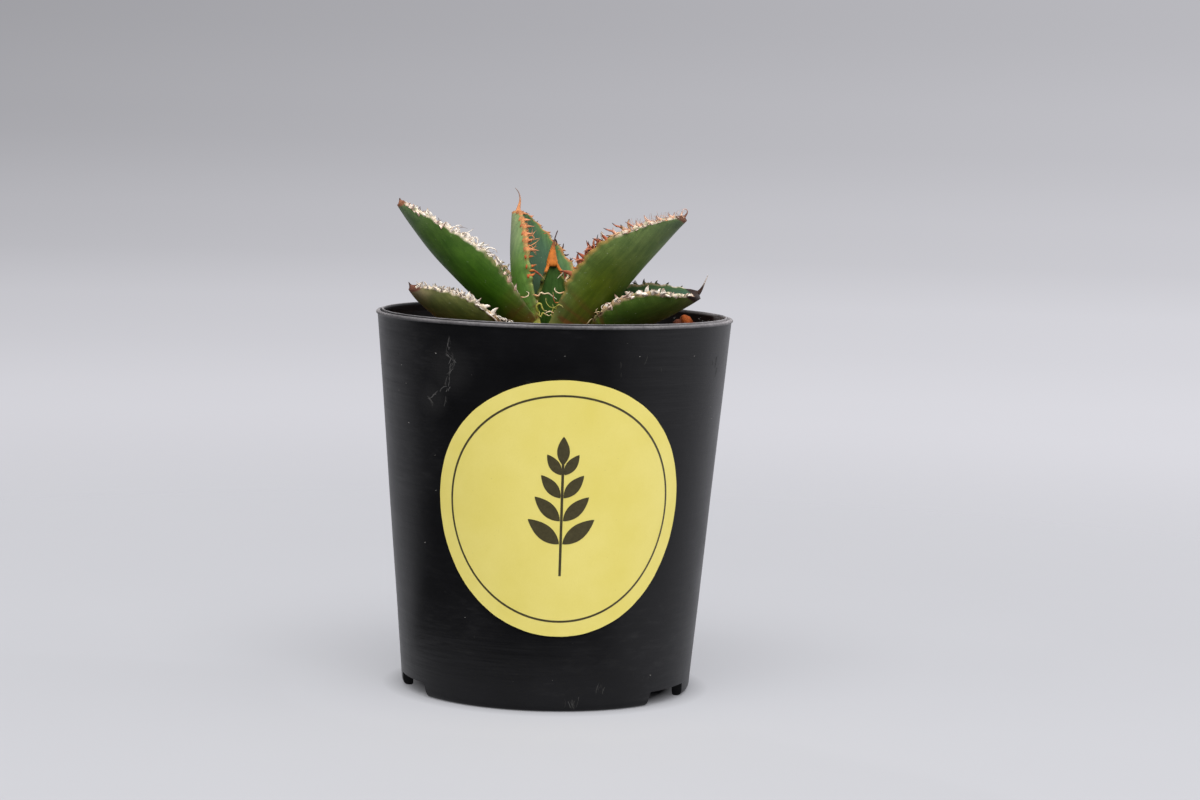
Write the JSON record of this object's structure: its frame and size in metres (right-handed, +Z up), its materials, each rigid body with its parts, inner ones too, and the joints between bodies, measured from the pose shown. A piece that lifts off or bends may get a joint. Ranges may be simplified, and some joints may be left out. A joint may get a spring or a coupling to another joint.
{
  "type": "potted agave",
  "caption": "Small thick-leaved agave with toothed, spine-tipped leaves in gritty soil, in a round tapered nursery pot with a round label on its wall.",
  "frame": {"origin": "middle of the foot ring, on the ground the pot stands on", "axes": "+Z up along the pot's axis, -Y towards the side with the label, +X to the right seen from that side"},
  "size_m": [0.08, 0.08, 0.1124],
  "materials": {
    "pot_plastic": "satin",
    "label_paper": "satin",
    "grit": "matte",
    "stem_tissue": "matte",
    "leaf_tissue": "satin"
  },
  "bodies": {
    "root": {"pot": "pot_plastic", "label": "label_paper", "soil": "grit", "stem": "stem_tissue", "leaf_centre": "leaf_tissue", "leaf_back": "leaf_tissue", "leaf_right": "leaf_tissue", "leaf_left": "leaf_tissue", "leaf_rear_right": "leaf_tissue", "leaf_low_right": "leaf_tissue", "leaf_rear_left": "leaf_tissue", "leaf_low_left": "leaf_tissue", "leaf_low_front": "leaf_tissue"}
  },
  "joints": []
}
